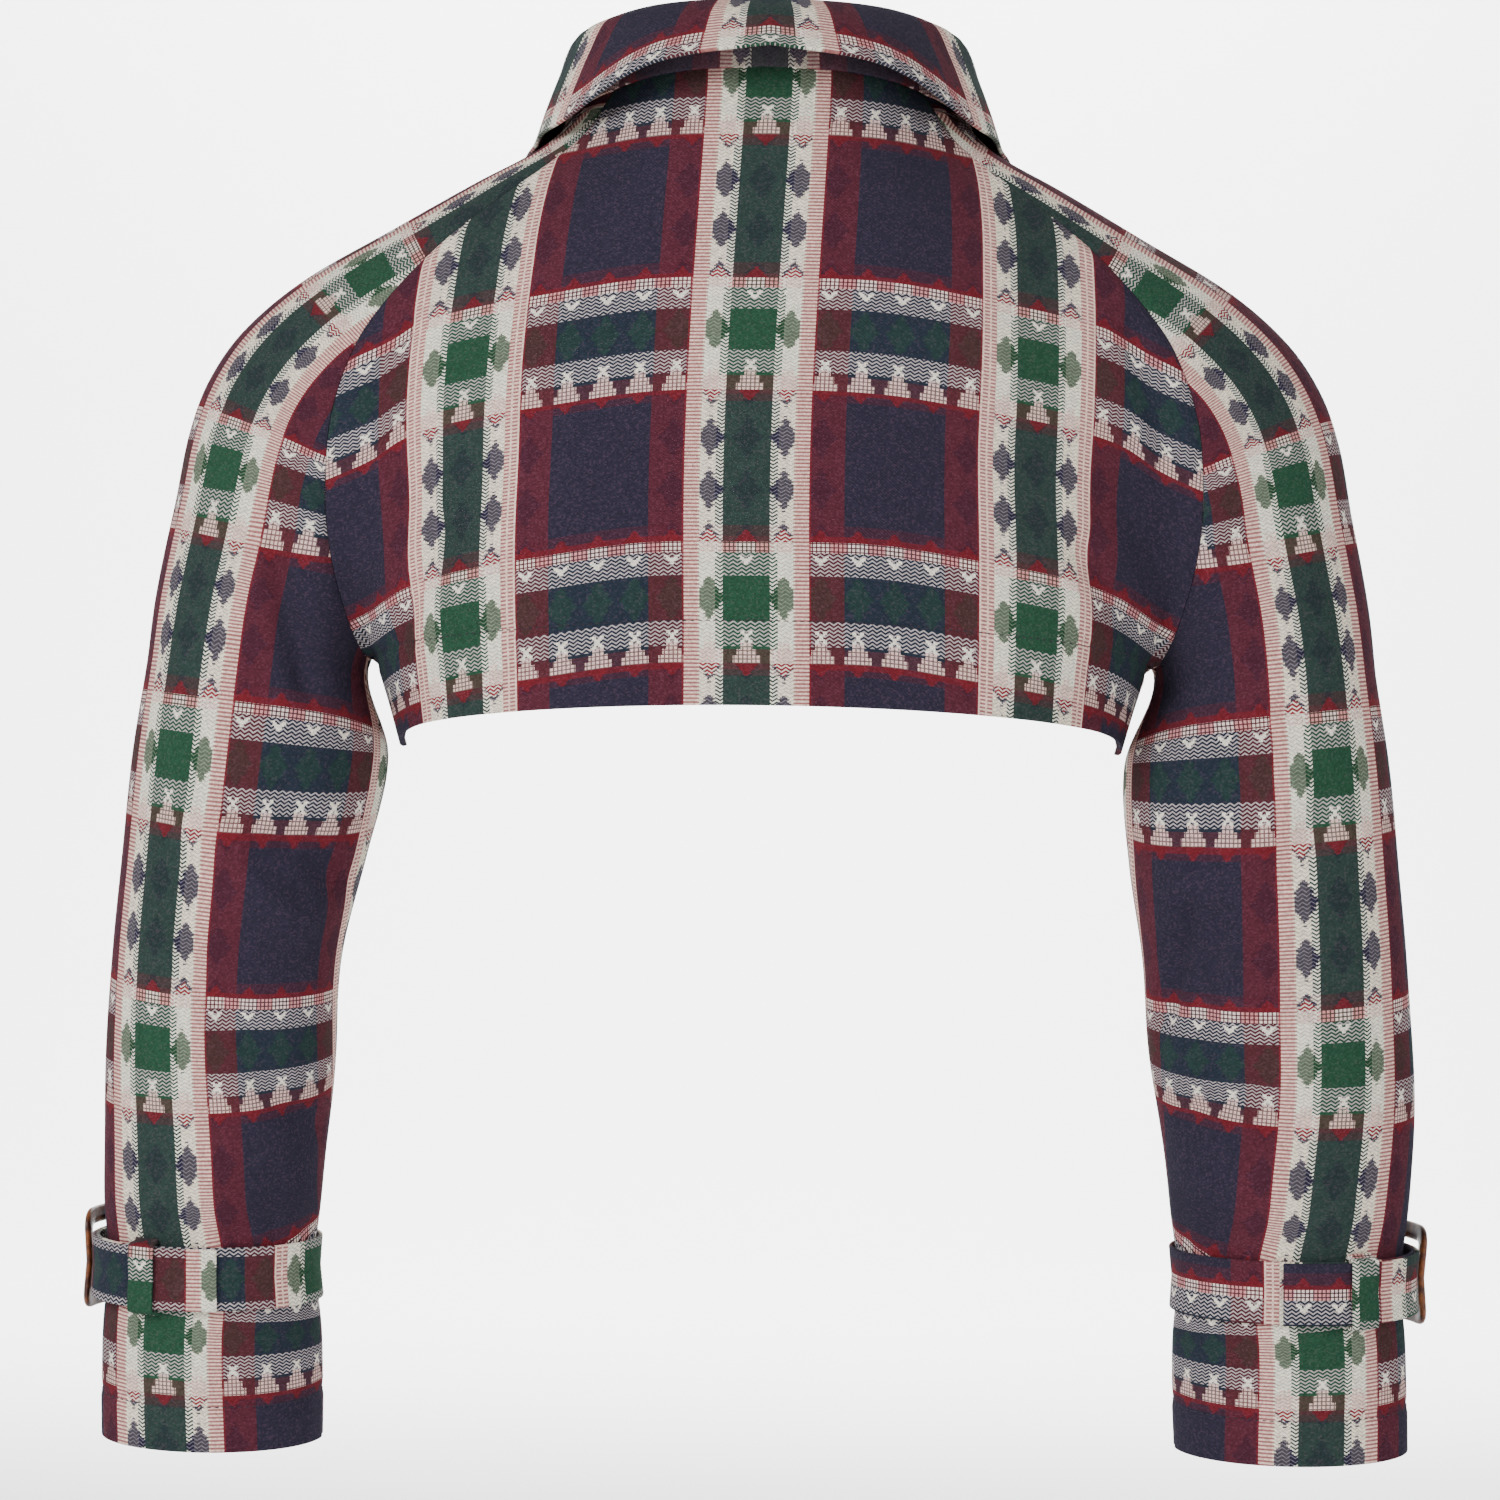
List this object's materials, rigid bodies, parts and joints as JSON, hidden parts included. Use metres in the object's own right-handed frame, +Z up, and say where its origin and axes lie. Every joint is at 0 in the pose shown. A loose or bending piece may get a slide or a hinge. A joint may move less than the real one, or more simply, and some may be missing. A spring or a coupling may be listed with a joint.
{
  "type": "bolero jacket",
  "caption": "Worn cropped bolero jacket, open in front, with raglan sleeves, turned-down collar and buckled cuff straps.",
  "frame": {"origin": "middle of the neck base, where a wearer holds the garment", "axes": "+Z up, -Y to the front, +X to the wearer's left"},
  "size_m": [0.6458, 0.2439, 0.6857],
  "materials": {
    "cloth": "matte checked wool",
    "buckle": "satin brown"
  },
  "bodies": {
    "root": {"back": "cloth", "front_left": "cloth", "front_right": "cloth", "sleeve_left": "cloth", "sleeve_right": "cloth", "collar": "cloth", "strap_left": "cloth", "strap_right": "cloth", "loop_left": "cloth", "loop_right": "cloth", "buckle_left": "buckle", "buckle_right": "buckle"}
  },
  "joints": []
}
